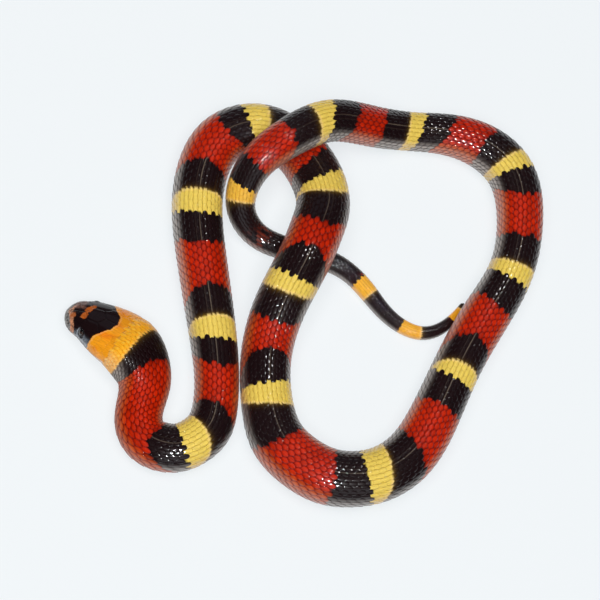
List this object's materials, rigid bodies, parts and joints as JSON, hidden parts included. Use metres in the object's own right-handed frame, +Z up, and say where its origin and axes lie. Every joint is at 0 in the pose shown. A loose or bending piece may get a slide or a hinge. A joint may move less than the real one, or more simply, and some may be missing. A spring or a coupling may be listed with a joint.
{
  "type": "milk snake figure",
  "caption": "Life-size still milk snake with red, black and yellow rings, lying in a loose open coil with its tail under its body.",
  "frame": {"origin": "middle of the bounding box, on the floor", "axes": "+X to the right of the picture and along the longest extent, +Y to its top, +Z up"},
  "size_m": [0.1836, 0.1552, 0.0306],
  "materials": {
    "head_skin": "smooth shiny scales",
    "jaw_skin": "smooth shiny scales",
    "eye_surface": "wet gloss",
    "neck_skin": "smooth shiny scales",
    "trunk_skin": "smooth shiny scales",
    "tail_skin": "smooth shiny scales"
  },
  "bodies": {
    "root": {"head": "head_skin", "lower_jaw": "jaw_skin", "eye_left": "eye_surface", "eye_right": "eye_surface", "neck": "neck_skin", "trunk_01": "trunk_skin", "trunk_02": "trunk_skin", "trunk_03": "trunk_skin", "trunk_04": "trunk_skin", "trunk_05": "trunk_skin", "trunk_06": "trunk_skin", "trunk_07": "trunk_skin", "trunk_08": "trunk_skin", "trunk_09": "trunk_skin", "trunk_10": "trunk_skin", "trunk_11": "trunk_skin", "trunk_12": "trunk_skin", "trunk_13": "trunk_skin", "trunk_14": "trunk_skin", "trunk_15": "trunk_skin", "trunk_16": "trunk_skin", "trunk_17": "trunk_skin", "trunk_18": "trunk_skin", "trunk_19": "trunk_skin", "trunk_20": "trunk_skin", "trunk_21": "trunk_skin", "trunk_22": "trunk_skin", "tail_1": "tail_skin", "tail_2": "tail_skin", "tail_3": "tail_skin", "tail_4": "tail_skin", "tail_tip": "tail_skin"}
  },
  "joints": []
}
